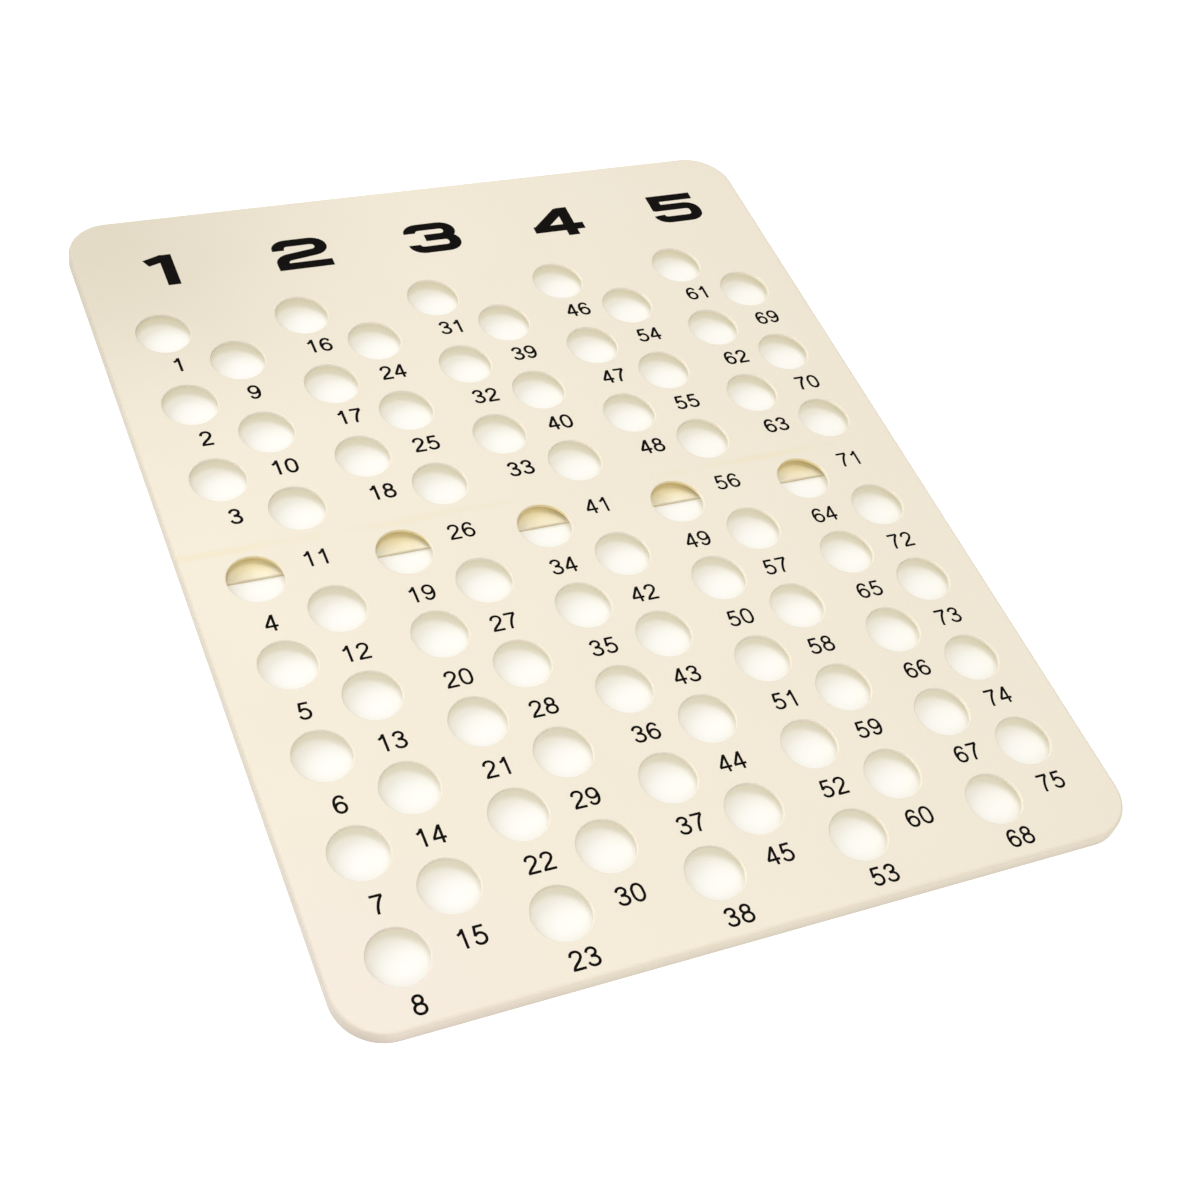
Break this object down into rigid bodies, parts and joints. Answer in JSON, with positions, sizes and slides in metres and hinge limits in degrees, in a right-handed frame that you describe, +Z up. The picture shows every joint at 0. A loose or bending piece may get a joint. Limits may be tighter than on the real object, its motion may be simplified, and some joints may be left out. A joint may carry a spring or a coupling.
{
  "type": "bingo master board",
  "caption": "Flat ivory plastic board of two moulded shell panels bonded over a strip, pierced by staggered rows of round seats that hold the number balls already called.",
  "frame": {"origin": "on the table under the middle of the board's outline", "axes": "+Z up out of the printed face, +Y towards the header end, +X to the right as the numbers are read"},
  "size_m": [0.245, 0.31, 0.005],
  "materials": {
    "upper_panel": "smooth semi-gloss ivory moulding, slightly translucent",
    "lower_panel": "smooth semi-gloss ivory moulding, slightly translucent",
    "joint_strip": "plain ivory sheet plastic, slightly yellowed",
    "print": "black screen print"
  },
  "bodies": {
    "root": {"upper_panel": "upper_panel", "lower_panel": "lower_panel", "joint_strip": "joint_strip"}
  },
  "joints": []
}
